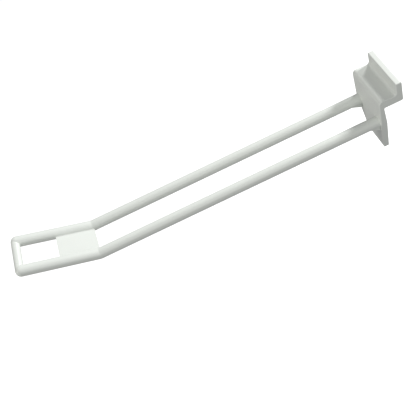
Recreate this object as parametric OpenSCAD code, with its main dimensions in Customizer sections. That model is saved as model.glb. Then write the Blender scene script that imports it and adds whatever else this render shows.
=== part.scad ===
// Slatwall hook, moulded in one piece of white plastic.
// A clip at the back drops into the groove of a slatwall. Two round arms run
// forward from its plate, and turn up at the front into a closed loop.
//
// The frame: the face of the wall is the plane y = 0, the arms run towards -Y,
// +Z is up, and the origin lies midway between the two arms, level with them.

/* [Clip] */
// Width of the tongue and of the shelf
clip_w = 29.3; // [24:0.1:40]
// Space for the lip of the upper slat, from the wall face to the tongue
lip_gap = 4.9; // [4.2:0.1:8]
// Thickness of the tongue
tongue_t = 3.2; // [1.6:0.1:3.8]
// Height of the tongue above the underside of the shelf
tongue_h = 11.8; // [9:0.1:14]
// Corner radius at the top of the tongue
tongue_corner_r = 0.6; // [0.2:0.1:2]

/* [Shelf] */
// Height of the underside of the shelf above the arms
shelf_z = 11.6; // [10:0.1:18]
// Thickness of the shelf where it meets the tongue
shelf_t = 4.4; // [2.8:0.1:4.8]
// Rise of the shelf's top from the tongue to the nose
nose_rise = 0.8; // [0.1:0.1:1.6]
// Radius of the nose, where the shelf turns down into the plate
nose_r = 2.2; // [0.5:0.1:2.4]
// Radius of the hollow between the shelf and the tongue
seat_r = 2.2; // [0.5:0.1:3.4]
// Radius of the heel, where the underside turns up into the tongue
heel_r = 0.9; // [0.4:0.1:1.5]

/* [Plate] */
// Depth of the plate below the arms
plate_drop = 22.9; // [14:0.1:32]
// Height of the knee, where the plate begins to taper
knee_z = 0.5; // [-2:0.1:4]
// Width of the plate at the knee
knee_w = 28.1; // [27:0.1:29]
// Width of the plate at the foot
foot_w = 17.8; // [10:0.1:26]
// Distance of the plate's back from the wall, under the shelf
shelf_stand = 2.3; // [0.5:0.1:4]
// Distance of the plate's back from the wall, at the knee
knee_stand = 1.4; // [0.3:0.1:2.4]
// Thickness of the plate under the nose
nose_t = 2.4; // [1.6:0.1:3.2]
// Thickness of the plate at the knee, where it carries the arms
knee_t = 3.4; // [2.2:0.1:4]
// Thickness of the plate at the foot
foot_t = 2.7; // [1.4:0.1:3]
// Corner radius at the foot
foot_corner_r = 0.3; // [0.2:0.1:3]
// Radius along the foot's front edge
foot_edge_r = 0.2; // [0.1:0.1:0.6]

/* [Arms] */
// Diameter of an arm
arm_d = 6.0; // [4:0.1:6.5]
// Distance between the axes of the two arms
arm_pitch = 20.3; // [14:0.1:20.4]
// Distance from the wall face to the bend
arm_reach = 163.9; // [60:0.1:300]
// Radius of the bend, on the axis of the arm
bend_r = 8; // [4:0.5:20]
// Angle by which the loop is turned up
loop_angle = 20.0; // [6:0.1:45]

/* [Loop] */
// Length of the loop, from the bend to the axis of the crossbar
loop_len = 41.0; // [32:0.1:60]
// Diameter of the crossbar
crossbar_d = 4.6; // [3:0.1:5.6]
// Distance from the axis of the crossbar back to the centre of a corner's ball
corner_in = 0.5; // [0.1:0.1:0.8]
// Diameter of the small flat on the tip of a corner's ball
tip_flat = 0.8; // [0.4:0.1:2]
// Length of the web between the arms
web_len = 20.9; // [8:0.1:24]
// Distance by which the web starts behind the bend
web_back = 0.7; // [0:0.1:2]
// Thickness of the web
web_t = 1.2; // [0.8:0.1:2.4]

/* [Gussets] */
// Length of a gusset, from the plate along the arm
gusset_len = 6.2; // [3:0.1:15]
// Depth of a gusset below the arm, at the plate
gusset_drop = 3.0; // [1:0.1:6]
// Thickness of a gusset
gusset_t = 2.0; // [1:0.1:3.5]

/* [Hidden] */

// Facets of the preview; the arc points of a corner are one every arc_step degrees
$fn = 96;
arc_step = 9;
// Depth by which a piece runs into the one that carries it
bury = 1.2;
// Small allowance by which a cutting outline stands clear of what it cuts
clear = 1;
// The two straight stretches of an arm run this far into the bend, and the bend
// is this much thicker across, so that their ends lie wholly inside it
bend_lap = 0.1;
bend_skin = 0.02;

arm_r = arm_d / 2;
shelf_top = shelf_z + shelf_t;
nose_top = shelf_top + nose_rise;
tongue_top = shelf_z + tongue_h;
tongue_back = lip_gap + tongue_t;
nose_front = -shelf_stand - nose_t;
knee_front = -knee_stand - knee_t;
foot_front = -foot_t;
plate_foot = -plate_drop;
// Straight stretch that the bend takes from the arm and from the loop
bend_run = bend_r * tan(loop_angle / 2);

// One corner of an outline: the points of an arc of radius p[2], tangent to the
// lines from p to its neighbours a and b
function corner(a, p, b) =
    let (
        to_a = unit([a[0] - p[0], a[1] - p[1]]),
        to_b = unit([b[0] - p[0], b[1] - p[1]]),
        half = acos(to_a * to_b) / 2,
        run = p[2] / tan(half),
        centre = [p[0], p[1]] + unit(to_a + to_b) * p[2] / sin(half),
        from = [p[0], p[1]] + to_a * run - centre,
        to = [p[0], p[1]] + to_b * run - centre,
        start = atan2(from[1], from[0]),
        turn = wrap(atan2(to[1], to[0]) - start),
        steps = max(1, ceil(abs(turn) / arc_step))
    )
    [for (i = [0 : steps]) centre + p[2] * [cos(start + turn * i / steps), sin(start + turn * i / steps)]];

function unit(v) = v / norm(v);

function wrap(angle) = angle > 180 ? angle - 360 : angle < -180 ? angle + 360 : angle;

// A closed outline from corners given as [across, up, radius]; radius 0 is sharp
function rounded(points) =
    let (n = len(points))
    [
        for (i = [0 : n - 1])
            let (p = points[i])
            each (p[2] == 0 ? [[p[0], p[1]]] : corner(points[(i + n - 1) % n], p, points[(i + 1) % n]))
    ];

// Side profile of the clip: y across, z up
module clip_profile() {
    polygon(rounded([
        [0, plate_foot, 0],
        [-knee_stand, knee_z, 0],
        [-shelf_stand, shelf_z, 0],
        [tongue_back, shelf_z, heel_r],
        [tongue_back, tongue_top, 0],
        [lip_gap, tongue_top, 0],
        [lip_gap, shelf_top, seat_r],
        [nose_front, nose_top, nose_r],
        [knee_front, knee_z, 0],
        [foot_front, plate_foot, foot_edge_r]
    ]));
}

// Front outline of the clip: x across, z up
module clip_outline() {
    half = clip_w / 2;
    polygon(rounded([
        [-foot_w / 2, plate_foot, foot_corner_r],
        [foot_w / 2, plate_foot, foot_corner_r],
        [knee_w / 2, knee_z, 0],
        [half, shelf_z, 0],
        [half, tongue_top, tongue_corner_r],
        [-half, tongue_top, tongue_corner_r],
        [-half, shelf_z, 0],
        [-knee_w / 2, knee_z, 0]
    ]));
}

// The clip: tongue, shelf, nose and leaning plate
module clip() {
    depth = tongue_back - nose_front + 2 * clear;
    intersection() {
        rotate([90, 0, 90])
            linear_extrude(height = clip_w + 2 * clear, center = true)
                clip_profile();
        translate([0, tongue_back + clear, 0])
            rotate([90, 0, 0])
                linear_extrude(height = depth)
                    clip_outline();
    }
}

// Moves its children to the bend and turns their +Y to run along the loop
module at_loop() {
    translate([0, -arm_reach, 0])
        rotate([180 - loop_angle, 0, 0])
            children();
}

// Straight stretch of an arm, from inside the plate to inside the bend
module arm_straight() {
    root = knee_front + bury;
    translate([0, root, 0])
        rotate([90, 0, 0])
            cylinder(h = arm_reach - bend_run + bend_lap + root, d = arm_d);
}

// The bend of an arm, an arc about an axis along X above the arm
module arm_bend() {
    translate([0, bend_run - arm_reach, bend_r])
        rotate([90, 0, 90])
            rotate([0, 0, -90 - loop_angle])
                rotate_extrude(angle = loop_angle)
                    translate([bend_r, 0])
                        circle(d = arm_d + bend_skin);
}

// The arm's stretch in the loop, with the round corner at its end
module arm_loop() {
    start = bend_run - bend_lap;
    at_loop()
        translate([0, start, 0])
            rotate([-90, 0, 0])
                rotate_extrude()
                    bar_section(loop_len - corner_in - start);
}

// Half section of a bar that ends in a half ball with a small flat on its tip
module bar_section(length) {
    square([arm_r, length]);
    translate([0, length])
        intersection() {
            circle(r = arm_r);
            square([arm_r, sqrt(arm_r * arm_r - tip_flat * tip_flat / 4)]);
        }
}

// Triangular rib in the corner between the plate and the underside of an arm
module gusset() {
    slope = gusset_drop / gusset_len;
    plate_end = knee_front + bury;
    arm_end = knee_front - gusset_len;
    rotate([90, 0, 90])
        linear_extrude(height = gusset_t, center = true)
            polygon([
                [plate_end, -arm_r - gusset_drop - slope * bury],
                [arm_end - bury / slope, -arm_r + bury],
                [plate_end, -arm_r + bury]
            ]);
}

// One whole arm with its gusset
module arm() {
    arm_straight();
    arm_bend();
    arm_loop();
    gusset();
}

// Round bar that closes the loop
module crossbar() {
    at_loop()
        translate([0, loop_len, 0])
            rotate([0, 90, 0])
                cylinder(h = arm_pitch, d = crossbar_d, center = true);
}

// Thin web between the arms, on their common plane
module web() {
    at_loop()
        translate([-arm_pitch / 2, -web_back, -web_t / 2])
            cube([arm_pitch, web_len, web_t]);
}

module hook() {
    color("honeydew") {
        clip();
        for (side = [-1, 1])
            translate([side * arm_pitch / 2, 0, 0])
                arm();
        crossbar();
        web();
    }
}

hook();
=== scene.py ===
"""The looks of a one-piece slatwall hook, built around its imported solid.

The hook is modelled in millimetres, in the solid's own frame: the wall's face is
the plane y = 0, the arms run towards -Y, +Z is up, and the origin lies midway
between the two arms. It is scaled to metres when its mesh is finished.
"""

import logging
import math
from dataclasses import dataclass, field
from enum import Enum
from typing import Any, Callable, Iterator, Sequence

import bmesh
import bpy
from mathutils import Matrix, Vector


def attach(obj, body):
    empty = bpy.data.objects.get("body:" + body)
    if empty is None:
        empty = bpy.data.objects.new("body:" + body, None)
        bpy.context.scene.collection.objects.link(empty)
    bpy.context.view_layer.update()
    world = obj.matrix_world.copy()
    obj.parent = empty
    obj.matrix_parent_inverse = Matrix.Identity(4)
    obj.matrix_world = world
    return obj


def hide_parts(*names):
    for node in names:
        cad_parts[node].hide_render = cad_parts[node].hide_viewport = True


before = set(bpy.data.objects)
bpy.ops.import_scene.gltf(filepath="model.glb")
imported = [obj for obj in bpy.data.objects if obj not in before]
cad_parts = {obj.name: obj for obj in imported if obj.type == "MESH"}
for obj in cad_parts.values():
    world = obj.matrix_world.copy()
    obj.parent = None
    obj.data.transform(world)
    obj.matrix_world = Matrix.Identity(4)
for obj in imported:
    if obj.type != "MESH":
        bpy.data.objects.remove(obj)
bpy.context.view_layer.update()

MM = 0.001
NODE = "hook"
BODY = "root"
LOG = logging.getLogger("slatwall_hook")

BMesh = bmesh.types.BMesh
BMVert = bmesh.types.BMVert
BMEdge = bmesh.types.BMEdge
Triple = tuple[float, float, float]
Rgba = tuple[float, float, float, float]

QUARTER_TURN = math.radians(90)
# An edge is sharp, or near to square, when its faces turn by more than this
SHARP_TURN = math.radians(25)
SQUARE_TURN = math.radians(60)
# Two points this near to each other are one, in mm
NEAR = 1e-3
# A point this far short of a limit still passes it, in mm
SLACK = 0.01
# Segments of a fine rounding, and how many more each mm of a larger radius adds
FINE_SEGMENTS = 3
SEGMENTS_PER_MM = 2
# Segments of a corner's rounding, and of the roundings along the clip's ends
CORNER_SEGMENTS = 4


class Side(Enum):
    """The two sides of the hook, as the sign of their x."""

    LEFT = -1
    RIGHT = 1


def prism(outline: Sequence[Sequence[float]], along: Sequence[float]) -> BMesh:
    """Draw a flat outline out into a prism.

    Args:
        outline: The corners of the outline in their order, in mm.
        along: How far and in which direction the outline is drawn out, in mm.

    Returns:
        The closed mesh, in mm.
    """
    bm = bmesh.new()
    face = bm.faces.new([bm.verts.new(corner) for corner in outline])
    grown = bmesh.ops.extrude_face_region(bm, geom=[face], use_keep_orig=True)["geom"]
    bmesh.ops.translate(bm, verts=[g for g in grown if isinstance(g, BMVert)], vec=along)
    bmesh.ops.recalc_face_normals(bm, faces=bm.faces)
    return bm


def edges_between(bm: BMesh, test: Callable[[Vector], bool]) -> list[BMEdge]:
    """Pick the edges of a mesh whose two ends both pass a test."""
    return [e for e in bm.edges if all(test(v.co) for v in e.verts)]


def sharp_edges(bm: BMesh, turn: float) -> list[BMEdge]:
    """List the edges of a closed mesh whose faces turn by more than an angle, in radians."""
    return [e for e in bm.edges if len(e.link_faces) == 2 and e.calc_face_angle(0.0) > turn]


def ends_of(edges: Sequence[BMEdge]) -> set[BMVert]:
    """Collect the vertices at the ends of some edges."""
    return {v for e in edges for v in e.verts}


def bevel_edges(bm: BMesh, edges: Sequence[BMEdge], width: float, segments: int) -> None:
    """Round some edges of a mesh.

    Args:
        bm: The mesh.
        edges: The edges to round.
        width: How far the rounding reaches from the edge, in mm.
        segments: How many faces the rounding has across.
    """
    bmesh.ops.bevel(
        bm, geom=list(edges), offset=width, offset_type="OFFSET", segments=segments,
        profile=0.5, affect="EDGES", material=-1, clamp_overlap=True, loop_slide=True,
    )


def tangent_length(radius: float, turn: float) -> float:
    """Distance from a corner to where an arc begins, for a corner that turns by an angle."""
    return radius * math.tan(turn / 2)


def scene_object(name: str, data: bpy.types.ID) -> bpy.types.Object:
    """Put some data into the scene as an object.

    Args:
        name: The object's name.
        data: The mesh, light or camera.

    Returns:
        The object.
    """
    holder = bpy.data.objects.new(name, data)
    bpy.context.scene.collection.objects.link(holder)
    return holder


def mesh_object(name: str, bm: BMesh) -> bpy.types.Object:
    """Put a mesh into the scene as an object, and free it.

    Args:
        name: The name of the object and of its mesh.
        bm: The mesh, which can't be used any more after this.

    Returns:
        The object.
    """
    mesh = bpy.data.meshes.new(name)
    bm.to_mesh(mesh)
    bm.free()
    return scene_object(name, mesh)


@dataclass
class Clip:
    """The clip that drops into the groove: tongue, shelf, nose and leaning plate.

    All sizes are in mm. Heights are measured from the level of the arms.
    """

    width: float = 29.3
    lip_gap: float = 4.9
    tongue_t: float = 3.2
    tongue_h: float = 11.8
    shelf_z: float = 11.6
    shelf_t: float = 4.4
    nose_rise: float = 0.8
    plate_drop: float = 22.9
    knee_z: float = 0.5
    knee_w: float = 28.1
    foot_w: float = 17.8
    # Distance of the plate's back from the wall under the shelf, and at the knee
    shelf_stand: float = 2.3
    knee_stand: float = 1.4
    # Thickness of the plate under the nose, at the knee and at the foot
    nose_t: float = 2.4
    knee_t: float = 3.4
    foot_t: float = 2.7
    # Radii of the profile's corners: nose, hollow, heel and under the shelf
    nose_r: float = 2.2
    seat_r: float = 1.7
    heel_r: float = 0.9
    under_shelf_r: float = 0.6
    # Radii of the corners seen from the front
    tongue_corner_r: float = 0.6
    foot_corner_r: float = 0.3
    # Radius of the end faces' front edges, and of every other edge
    end_r: float = 0.45
    edge_r: float = 0.12
    # How far below the shelf's top, and behind the plate's front, the front edges of
    # an end face are looked for: enough for the hollow's start and for the nose
    top_reach: float = 0.05
    front_reach: float = 0.7

    @property
    def shelf_top(self) -> float:
        """Height of the shelf's top where it meets the tongue."""
        return self.shelf_z + self.shelf_t

    @property
    def tongue_top(self) -> float:
        """Height of the tongue's top."""
        return self.shelf_z + self.tongue_h

    @property
    def knee_front(self) -> float:
        """The y of the plate's front at the knee."""
        return -self.knee_stand - self.knee_t

    @property
    def nose_front(self) -> float:
        """The y of the plate's front at the nose."""
        return -self.shelf_stand - self.nose_t

    def outline(self) -> list[Triple]:
        """List the corners of the side profile.

        Returns:
            Each corner's y and z and the radius to round it by, in mm.
        """
        back = self.lip_gap + self.tongue_t
        return [
            (0.0, -self.plate_drop, 0.0),
            (-self.knee_stand, self.knee_z, 0.0),
            (-self.shelf_stand, self.shelf_z, self.under_shelf_r),
            (back, self.shelf_z, self.heel_r),
            (back, self.tongue_top, 0.0),
            (self.lip_gap, self.tongue_top, 0.0),
            (self.lip_gap, self.shelf_top, self.seat_r),
            (self.nose_front, self.shelf_top + self.nose_rise, self.nose_r),
            (self.knee_front, self.knee_z, 0.0),
            (-self.foot_t, -self.plate_drop, 0.0),
        ]

    def front_at(self, z: float) -> float:
        """Find the plate's front face at a height.

        Args:
            z: The height, in mm.

        Returns:
            The front face's y there, in mm.
        """
        if z < self.knee_z:
            share = (self.knee_z - z) / (self.knee_z + self.plate_drop)
            return self.knee_front + share * (-self.foot_t - self.knee_front)
        share = (z - self.knee_z) / (self.shelf_top + self.nose_rise - self.knee_z)
        return self.knee_front + share * (self.nose_front - self.knee_front)

    def build(self) -> BMesh:
        """Model the clip: a prism of its profile, tapered, cornered and softened.

        Returns:
            The closed mesh, in mm.
        """
        outline = self.outline()
        bm = prism([(-self.width / 2, y, z) for y, z, _ in outline], (self.width, 0, 0))
        self.round_profile(bm, outline)
        self.taper(bm)
        self.round_corners(bm)
        self.soften_ends(bm)
        bevel_edges(bm, sharp_edges(bm, SHARP_TURN), self.edge_r, FINE_SEGMENTS)
        bmesh.ops.recalc_face_normals(bm, faces=bm.faces)
        return bm

    def round_profile(self, bm: BMesh, outline: Sequence[Triple]) -> None:
        """Round the long edges of the prism, each by the radius of its corner.

        Args:
            bm: The prism.
            outline: The profile's corners, as outline gives them.
        """
        for y, z, radius in outline:
            if radius == 0.0:
                continue
            edges = edges_between(bm, lambda p: abs(p.y - y) < NEAR and abs(p.z - z) < NEAR)
            width = tangent_length(radius, edges[0].calc_face_angle(0.0))
            bevel_edges(bm, edges, width, FINE_SEGMENTS + round(SEGMENTS_PER_MM * radius))

    def taper(self, bm: BMesh) -> None:
        """Cut both sides to the widths at the knee and at the foot.

        Args:
            bm: The prism with its long edges rounded.
        """
        stations = [
            (self.width / 2, self.shelf_z),
            (self.knee_w / 2, self.knee_z),
            (self.foot_w / 2, -self.plate_drop),
        ]
        for (top_x, top_z), (low_x, low_z) in zip(stations, stations[1:]):
            for side in Side:
                cut = bmesh.ops.bisect_plane(
                    bm, geom=bm.verts[:] + bm.edges[:] + bm.faces[:], clear_outer=True,
                    plane_co=(side.value * low_x, 0, low_z),
                    plane_no=(side.value * (top_z - low_z), 0, low_x - top_x),
                )["geom_cut"]
                rim = [g for g in cut if isinstance(g, BMEdge) and g.is_boundary]
                bmesh.ops.edgeloop_fill(bm, edges=rim)
                bmesh.ops.recalc_face_normals(bm, faces=bm.faces)

    def round_corners(self, bm: BMesh) -> None:
        """Round the tongue's two top corners and the plate's two foot corners.

        Args:
            bm: The tapered mesh.
        """
        corners = (
            (self.width / 2, self.tongue_top, self.tongue_corner_r),
            (self.foot_w / 2, -self.plate_drop, self.foot_corner_r),
        )
        for x, z, radius in corners:
            edges = edges_between(bm, lambda p: abs(abs(p.x) - x) < NEAR and abs(p.z - z) < NEAR)
            bevel_edges(bm, edges, radius, CORNER_SEGMENTS)

    def soften_ends(self, bm: BMesh) -> None:
        """Round the front edges of both end faces.

        Args:
            bm: The mesh with its corners rounded.
        """
        sharp = set(sharp_edges(bm, SQUARE_TURN))
        chain = [
            e for e in edges_between(bm, self.on_end_front)
            if e in sharp and e.verts[0].co.x * e.verts[1].co.x > 0
        ]
        bevel_edges(bm, chain, self.end_r, CORNER_SEGMENTS)

    def on_end_front(self, p: Vector) -> bool:
        """Tell whether a point lies on the front line of an end face.

        The line runs from the tongue's top down its front, along the shelf and
        over the nose to the knee.

        Args:
            p: The point, in mm.

        Returns:
            Whether the point lies there.
        """
        at_corner = p.z > self.tongue_top - self.tongue_corner_r - SLACK
        inner = self.width / 2 - self.tongue_corner_r if at_corner else self.knee_w / 2
        on_shelf = p.z > self.shelf_top - self.top_reach
        in_front = on_shelf or p.y < self.front_at(p.z) + self.front_reach
        outside = abs(p.x) > inner - SLACK
        above_knee = p.z > self.knee_z - SLACK
        return outside and above_knee and p.y < self.lip_gap + SLACK and in_front


@dataclass
class Arms:
    """The two round arms: flared root, straight stretch, bend and rounded end.

    All sizes are in mm, and angles in radians.
    """

    diameter: float = 6.0
    pitch: float = 20.3
    reach: float = 163.9
    bend_r: float = 5.0
    loop_angle: float = math.radians(20.0)
    loop_len: float = 41.0
    # Distance from the crossbar's axis back to the centre of a corner's ball
    corner_in: float = 0.8
    root_r: float = 0.2
    # How far the root runs into the plate, and how far behind its front the flare starts
    bury: float = 1.0
    root_sink: float = 0.01
    # Radius of the small flat that is left on the tip of a corner's ball
    tip: float = 0.05
    around: int = 64
    root_steps: int = 6
    bend_steps: int = 8
    tip_segments: int = 12

    @property
    def radius(self) -> float:
        """Radius of an arm."""
        return self.diameter / 2

    @property
    def bend_run(self) -> float:
        """Straight length that the bend takes from each of the two stretches."""
        return tangent_length(self.bend_r, self.loop_angle)

    @property
    def along_loop(self) -> Vector:
        """Direction in which the loop runs from the bend."""
        return Vector((0, -math.cos(self.loop_angle), math.sin(self.loop_angle)))

    @property
    def off_loop(self) -> Vector:
        """Direction square to the loop's plane, upwards."""
        return Vector((0, math.sin(self.loop_angle), math.cos(self.loop_angle)))

    def loop_point(self, run: float) -> Vector:
        """The point on the loop's middle line at a distance from the bend."""
        return Vector((0, -self.reach, 0)) + self.along_loop * run

    def build(self, side: Side, clip: Clip) -> BMesh:
        """Model one arm as a ring that is drawn out, spun through the bend and closed.

        Args:
            side: Which of the two arms.
            clip: The clip whose plate carries it.

        Returns:
            The closed mesh, in mm.
        """
        bm = bmesh.new()
        ring = bmesh.ops.create_circle(
            bm, segments=self.around, radius=self.radius + self.root_r,
            matrix=Matrix.Rotation(QUARTER_TURN, 4, "X"),
        )["verts"]
        for vert in ring:
            vert.co.y = clip.front_at(vert.co.z) + self.bury
        edges = self.grow(bm, self.flare(bm, list(bm.edges), clip))
        for vert in ends_of(edges):
            vert.co.y = -self.reach + self.bend_run
        edges = self.grow(bm, self.spin(bm, edges))
        run = self.loop_len - self.corner_in + self.radius - self.bend_run
        bmesh.ops.translate(bm, verts=list(ends_of(edges)), vec=self.along_loop * run)
        bmesh.ops.holes_fill(bm, edges=[e for e in bm.edges if e.is_boundary], sides=0)
        bmesh.ops.recalc_face_normals(bm, faces=bm.faces)
        bevel_edges(bm, edges, self.radius - self.tip, self.tip_segments)
        bmesh.ops.translate(bm, verts=bm.verts, vec=(side.value * self.pitch / 2, 0, 0))
        return bm

    def flare(self, bm: BMesh, edges: Sequence[BMEdge], clip: Clip) -> list[BMEdge]:
        """Narrow a ring to the arm's radius along a quarter round on the plate.

        Args:
            bm: The mesh.
            edges: The ring, which is wider than the arm by the root's radius.
            clip: The clip whose plate it stands on.

        Returns:
            The last ring, at the arm's own radius.
        """
        previous = self.radius + self.root_r
        for step in range(self.root_steps + 1):
            angle = QUARTER_TURN * step / self.root_steps
            radius = self.radius + self.root_r * (1 - math.sin(angle))
            out = self.root_r * (1 - math.cos(angle))
            edges = self.grow(bm, edges)
            for vert in ends_of(edges):
                vert.co.x *= radius / previous
                vert.co.z *= radius / previous
                vert.co.y = clip.front_at(vert.co.z) - out + self.root_sink
            previous = radius
        return edges

    def grow(self, bm: BMesh, edges: Sequence[BMEdge]) -> list[BMEdge]:
        """Extrude a ring of edges where it is, and return the new ring."""
        geom = bmesh.ops.extrude_edge_only(bm, edges=list(edges))["geom"]
        return [g for g in geom if isinstance(g, BMEdge) and g.is_boundary]

    def spin(self, bm: BMesh, edges: Sequence[BMEdge]) -> list[BMEdge]:
        """Spin a ring of edges up through the bend.

        Args:
            bm: The mesh.
            edges: The ring at the bend's start.

        Returns:
            The ring at the bend's end.
        """
        last = bmesh.ops.spin(
            bm, geom=list(edges) + list(ends_of(edges)),
            cent=Vector((0, -self.reach + self.bend_run, self.bend_r)),
            axis=Vector((1, 0, 0)), angle=-self.loop_angle, steps=self.bend_steps,
        )["geom_last"]
        return [g for g in last if isinstance(g, BMEdge)]


@dataclass
class LoopEnd:
    """What closes the loop: the crossbar, and the web with its fillets along the arms.

    All sizes are in mm.
    """

    crossbar_d: float = 4.6
    web_len: float = 20.9
    # How far behind the bend the web starts
    web_back: float = 0.7
    web_t: float = 1.2
    fillet_r: float = 0.5
    edge_r: float = 0.12
    around: int = 48
    fillet_steps: int = 6

    def crossbar(self, arms: Arms) -> BMesh:
        """Model the round bar between the two corners.

        Args:
            arms: The arms that it joins.

        Returns:
            The closed mesh, in mm.
        """
        bm = bmesh.new()
        middle = Matrix.Translation(arms.loop_point(arms.loop_len))
        bmesh.ops.create_cone(
            bm, cap_ends=True, segments=self.around,
            radius1=self.crossbar_d / 2, radius2=self.crossbar_d / 2,
            depth=arms.pitch, matrix=middle @ Matrix.Rotation(QUARTER_TURN, 4, "Y"),
        )
        return bm

    def web_section(self, arms: Arms) -> list[tuple[float, float]]:
        """Outline half of the web's upper side, from its middle to inside an arm.

        Args:
            arms: The arms that it joins.

        Returns:
            Points as x and height over the loop's plane, in mm.
        """
        reach = arms.radius + self.fillet_r
        rise = self.web_t / 2 + self.fillet_r
        centre_x = arms.pitch / 2 - math.sqrt(reach * reach - rise * rise)
        start = -QUARTER_TURN
        sweep = math.atan2(-rise, arms.pitch / 2 - centre_x) - start
        angles = [start + sweep * i / self.fillet_steps for i in range(self.fillet_steps + 1)]
        points = [
            (centre_x + self.fillet_r * math.cos(a), rise + self.fillet_r * math.sin(a))
            for a in angles
        ]
        return points + [(arms.pitch / 2, points[-1][1])]

    def web(self, arms: Arms) -> BMesh:
        """Model the web: its cross section drawn along the loop, with softened ends.

        Args:
            arms: The arms that it joins.

        Returns:
            The closed mesh, in mm.
        """
        quarter = self.web_section(arms)
        upper = [(-x, h) for x, h in reversed(quarter)] + quarter
        outline = upper + [(x, -h) for x, h in reversed(upper)]
        start = arms.loop_point(-self.web_back)
        bm = prism(
            [start + Vector((x, 0, 0)) + arms.off_loop * h for x, h in outline],
            arms.along_loop * self.web_len,
        )
        bevel_edges(bm, sharp_edges(bm, SQUARE_TURN), self.edge_r, FINE_SEGMENTS)
        return bm


@dataclass
class Gusset:
    """The triangular rib in the corner between the plate and the underside of an arm.

    All sizes are in mm.
    """

    length: float = 6.2
    drop: float = 3.0
    thickness: float = 2.0
    # How far it runs into the plate and into the arm
    bury: float = 1.2
    edge_r: float = 0.2

    def build(self, side: Side, arms: Arms, clip: Clip) -> BMesh:
        """Model one gusset, which runs into the arm and into the plate.

        Args:
            side: Which arm it stands under.
            arms: The arms.
            clip: The clip whose plate it meets.

        Returns:
            The closed mesh, in mm.
        """
        slope = self.drop / self.length
        plate_y = clip.knee_front + self.bury
        low_z = -arms.radius - self.drop - slope * self.bury
        top_z = -arms.radius + self.bury
        tip_y = clip.knee_front - self.length - self.bury / slope
        left = side.value * arms.pitch / 2 - self.thickness / 2
        corners = ((left, plate_y, low_z), (left, tip_y, top_z), (left, plate_y, top_z))
        bm = prism(corners, (self.thickness, 0, 0))
        lower = [
            e for e in bm.edges
            if min(v.co.z for v in e.verts) < low_z + NEAR < max(v.co.z for v in e.verts)
            and min(v.co.y for v in e.verts) < plate_y - NEAR
            and abs(e.verts[0].co.x - e.verts[1].co.x) < NEAR
        ]
        bevel_edges(bm, lower, self.edge_r, FINE_SEGMENTS)
        return bm


class Val:
    """A shader socket on which Python's operators add Math nodes."""

    def __init__(self, nodes: "ShaderBuilder", socket: bpy.types.NodeSocket) -> None:
        """Wrap a socket of a node tree."""
        self.nodes = nodes
        self.socket = socket

    def _math(self, operation: str, *values: Any) -> "Val":
        """Add one Math node on some values or sockets."""
        inputs = dict(enumerate(values))
        return self.nodes.add("ShaderNodeMath", {"operation": operation}, inputs, 0)

    def __add__(self, other: Any) -> "Val":
        """Sum."""
        return self._math("ADD", self, other)

    __radd__ = __add__

    def __mul__(self, other: Any) -> "Val":
        """Product."""
        return self._math("MULTIPLY", self, other)

    __rmul__ = __mul__


class ShaderBuilder:
    """Adds nodes to one material's tree."""

    def __init__(self, name: str) -> None:
        """Make a material with an empty tree.

        Args:
            name: The material's name.
        """
        self.material = bpy.data.materials.new(name)
        self.material.use_nodes = True
        self.tree = self.material.node_tree
        self.tree.nodes.clear()

    def add(
        self, kind: str, settings: dict[str, Any], inputs: dict[Any, Any], output: Any = None,
    ) -> Any:
        """Add one node.

        Args:
            kind: The node's type.
            settings: Its properties, which are set before its sockets.
            inputs: Values or links, by the socket's name or number.
            output: The output to return, by name or number.

        Returns:
            The output as a Val, or the node itself if no output is named.
        """
        node = self.tree.nodes.new(kind)
        for name, value in settings.items():
            setattr(node, name, value)
        for name, value in inputs.items():
            if isinstance(value, Val):
                self.tree.links.new(value.socket, node.inputs[name])
            else:
                node.inputs[name].default_value = value
        return node if output is None else Val(self, node.outputs[output])

    def as_material(self, shader: Val) -> bpy.types.Material:
        """Send a shader to the material's surface, and return the material."""
        self.add("ShaderNodeOutputMaterial", {}, {"Surface": shader})
        return self.material


@dataclass(frozen=True)
class Grain:
    """A fine noise in the plastic. The scale is per metre."""

    scale: float
    detail: float
    roughness: float

    def add_to(self, build: ShaderBuilder, place: Val) -> Val:
        """Add the noise to a material.

        Args:
            build: The material's nodes.
            place: The coordinates that it follows.

        Returns:
            The noise's value, from 0 to 1.
        """
        return build.add("ShaderNodeTexNoise", {"noise_dimensions": "3D"}, {
            "Vector": place, "Scale": self.scale, "Detail": self.detail,
            "Roughness": self.roughness,
        }, "Fac")


@dataclass(frozen=True)
class MouldedPlastic:
    """White moulded plastic with a faint green-grey cast."""

    name: str = "moulded_plastic"
    colour: Rgba = (0.789, 0.815, 0.776, 1.0)
    shade: Rgba = (0.759, 0.785, 0.748, 1.0)
    roughness: float = 0.36
    roughness_spread: float = 0.10
    ior: float = 1.5
    mottle: Grain = Grain(90.0, 4.0, 0.55)
    skin: Grain = Grain(2600.0, 3.0, 0.6)
    # Depth of the skin's grain, in metres, and how much of it shows
    skin_depth: float = 0.00002
    skin_strength: float = 0.5

    def material(self) -> bpy.types.Material:
        """Make the material.

        Returns:
            The material, ready to assign.
        """
        build = ShaderBuilder(self.name)
        place = build.add("ShaderNodeTexCoord", {}, {}, "Object")
        mottle = self.mottle.add_to(build, place)
        skin = self.skin.add_to(build, place)
        colour = build.add("ShaderNodeMix", {"data_type": "RGBA"}, {
            "Factor": mottle, "A": self.shade, "B": self.colour,
        }, "Result")
        rough = self.roughness - self.roughness_spread / 2 + self.roughness_spread * mottle
        bump = build.add("ShaderNodeBump", {}, {
            "Height": skin, "Distance": self.skin_depth, "Strength": self.skin_strength,
        }, "Normal")
        shader = build.add("ShaderNodeBsdfPrincipled", {}, {
            "Base Color": colour, "Roughness": rough, "Normal": bump, "IOR": self.ior,
        }, "BSDF")
        return build.as_material(shader)


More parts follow.
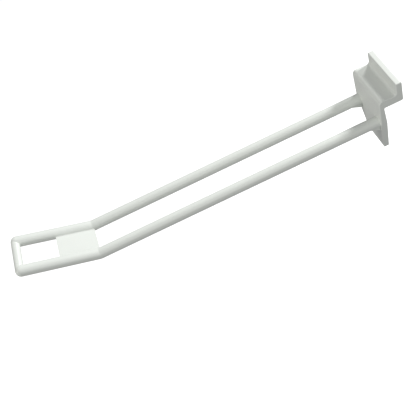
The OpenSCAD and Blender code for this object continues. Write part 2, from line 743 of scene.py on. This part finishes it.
@dataclass(frozen=True)
class FloorPaint:
    """Pale matt paint that glows a little, so that the floor shows white."""

    name: str = "floor_paint"
    colour: Rgba = (0.9, 0.9, 0.9, 1.0)
    roughness: float = 0.9
    glow_colour: Rgba = (1.0, 1.0, 1.0, 1.0)
    glow: float = 0.4

    def material(self) -> bpy.types.Material:
        """Make the material.

        Returns:
            The material, ready to assign.
        """
        build = ShaderBuilder(self.name)
        shader = build.add("ShaderNodeBsdfPrincipled", {}, {
            "Base Color": self.colour, "Roughness": self.roughness,
            "Emission Color": self.glow_colour, "Emission Strength": self.glow,
        }, "BSDF")
        return build.as_material(shader)


@dataclass
class Hook:
    """The whole hook: one moulding, joined from its clip, arms, loop and gussets."""

    name: str = "hook_moulding"
    clip: Clip = field(default_factory=Clip)
    arms: Arms = field(default_factory=Arms)
    loop_end: LoopEnd = field(default_factory=LoopEnd)
    gusset: Gusset = field(default_factory=Gusset)
    finish: MouldedPlastic = field(default_factory=MouldedPlastic)
    # Edges that turn by less than this are shaded smooth, in radians
    smooth_below: float = math.radians(40)

    def solids(self) -> Iterator[tuple[str, BMesh]]:
        """Model the closed solids of the moulding, one after another.

        Returns:
            Each solid's name and its closed mesh, in mm.
        """
        yield "clip", self.clip.build()
        for side in Side:
            yield f"arm_{side.name.lower()}", self.arms.build(side, self.clip)
            yield f"gusset_{side.name.lower()}", self.gusset.build(side, self.arms, self.clip)
        yield "crossbar", self.loop_end.crossbar(self.arms)
        yield "web", self.loop_end.web(self.arms)

    def build(self) -> bpy.types.Object:
        """Join the solids into one mesh and dress it.

        Returns:
            The finished piece, in metres.
        """
        piece: bpy.types.Object | None = None
        for name, bm in self.solids():
            solid = mesh_object(name, bm)
            LOG.info("solid %s: %d faces", name, len(solid.data.polygons))
            piece = solid if piece is None else self.join(piece, solid)
        piece.name = self.name
        piece.data.name = self.name
        piece.data.transform(Matrix.Scale(MM, 4))
        piece.data.shade_smooth()
        piece.data.set_sharp_from_angle(angle=self.smooth_below)
        weighted = piece.modifiers.new("even_normals", "WEIGHTED_NORMAL")
        weighted.keep_sharp = True
        piece.data.materials.clear()
        piece.data.materials.append(self.finish.material())
        return piece

    def join(self, first: bpy.types.Object, second: bpy.types.Object) -> bpy.types.Object:
        """Join two closed solids into one.

        Args:
            first: The solid that stays.
            second: The solid that is added to it and removed.

        Returns:
            The joined solid.
        """
        union = first.modifiers.new("union", "BOOLEAN")
        union.operation = "UNION"
        union.solver = "EXACT"
        union.object = second
        bpy.context.view_layer.update()
        evaluated = first.evaluated_get(bpy.context.evaluated_depsgraph_get())
        joined = bpy.data.meshes.new_from_object(evaluated)
        first.modifiers.clear()
        first.data = joined
        bpy.data.objects.remove(second)
        return first


@dataclass(frozen=True)
class SoftLight:
    """One square studio light. Its place and width are in metres."""

    name: str
    place: Triple
    width: float
    watts: float
    colour: Triple = (1.0, 1.0, 1.0)

    def build(self, target: Vector) -> None:
        """Hang the light at its place, turned to a target.

        Args:
            target: The point that it shines at, in metres.
        """
        lamp = bpy.data.lights.new(self.name, "AREA")
        lamp.shape = "SQUARE"
        lamp.size = self.width
        lamp.energy = self.watts
        lamp.color = self.colour
        holder = scene_object(self.name, lamp)
        holder.location = self.place
        aim = target - Vector(self.place)
        holder.rotation_euler = aim.to_track_quat("-Z", "Y").to_euler()


@dataclass
class Studio:
    """Floor, lights and camera. Places are in metres, in the hook's frame."""

    floor_z: float = -0.45
    floor_size: float = 12.0
    paint: FloorPaint = field(default_factory=FloorPaint)
    # Where the camera stands, and which way its right side and its lens point
    eye: Triple = (0.23467, -0.09432, 0.25491)
    right: Triple = (0.30969, 0.90279, -0.29843)
    ahead: Triple = (-0.65447, -0.02529, -0.75567)
    # Focal length and sensor width, in mm
    lens: float = 56.73
    sensor: float = 36.0
    target: Triple = (0.0, -0.09, 0.0)
    room_light: Rgba = (0.300, 0.299, 0.304, 1.0)
    lights: tuple[SoftLight, ...] = (
        SoftLight("key", (-0.32, 1.2, 0.895), 0.25, 18.0),
        SoftLight("rim", (-0.92, 0.93, 0.825), 0.25, 9.0, (0.98, 1.0, 0.98)),
        SoftLight("front", (0.13, -1.6, 0.47), 0.25, 7.3, (1.0, 0.99, 0.94)),
        SoftLight("side", (1.36, -0.09, 0.84), 1.0, 5.4, (0.97, 1.0, 0.95)),
    )

    def build(self) -> None:
        """Set up the floor, the lights, the surroundings and the camera."""
        self.floor()
        for light in self.lights:
            light.build(Vector(self.target))
        self.surroundings()
        self.camera()
        bpy.context.scene.view_settings.view_transform = "Standard"

    def floor(self) -> None:
        """Lay a plain pale floor, which the hook doesn't mirror or take light from."""
        bm = bmesh.new()
        bmesh.ops.create_grid(
            bm, x_segments=1, y_segments=1, size=self.floor_size / 2,
            matrix=Matrix.Translation((0, 0, self.floor_z)),
        )
        floor = mesh_object("floor", bm)
        floor.data.materials.append(self.paint.material())
        floor.visible_diffuse = False
        floor.visible_glossy = False

    def surroundings(self) -> None:
        """Fill the room with even light."""
        world = bpy.data.worlds.new("room")
        bpy.context.scene.world = world
        world.use_nodes = True
        world.node_tree.nodes["Background"].inputs["Color"].default_value = self.room_light

    def camera(self) -> None:
        """Stand the camera where the hook is seen from, and make it the scene's."""
        lens = bpy.data.cameras.new("camera")
        lens.lens = self.lens
        lens.sensor_width = self.sensor
        back = -Vector(self.ahead).normalized()
        right = Vector(self.right)
        right = (right - back * right.dot(back)).normalized()
        turn = Matrix((right, back.cross(right), back)).transposed().to_4x4()
        eye = scene_object("camera", lens)
        eye.matrix_world = Matrix.Translation(self.eye) @ turn
        bpy.context.scene.camera = eye


def main() -> None:
    """Build the hook and the studio, and report each piece."""
    logging.basicConfig(level=logging.INFO, format="%(message)s")
    hook = Hook()
    piece = hook.build()
    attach(piece, BODY)
    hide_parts(NODE)
    LOG.info("piece %s: %d faces", piece.name, len(piece.data.polygons))
    Studio().build()


if __name__ == "__main__":
    main()
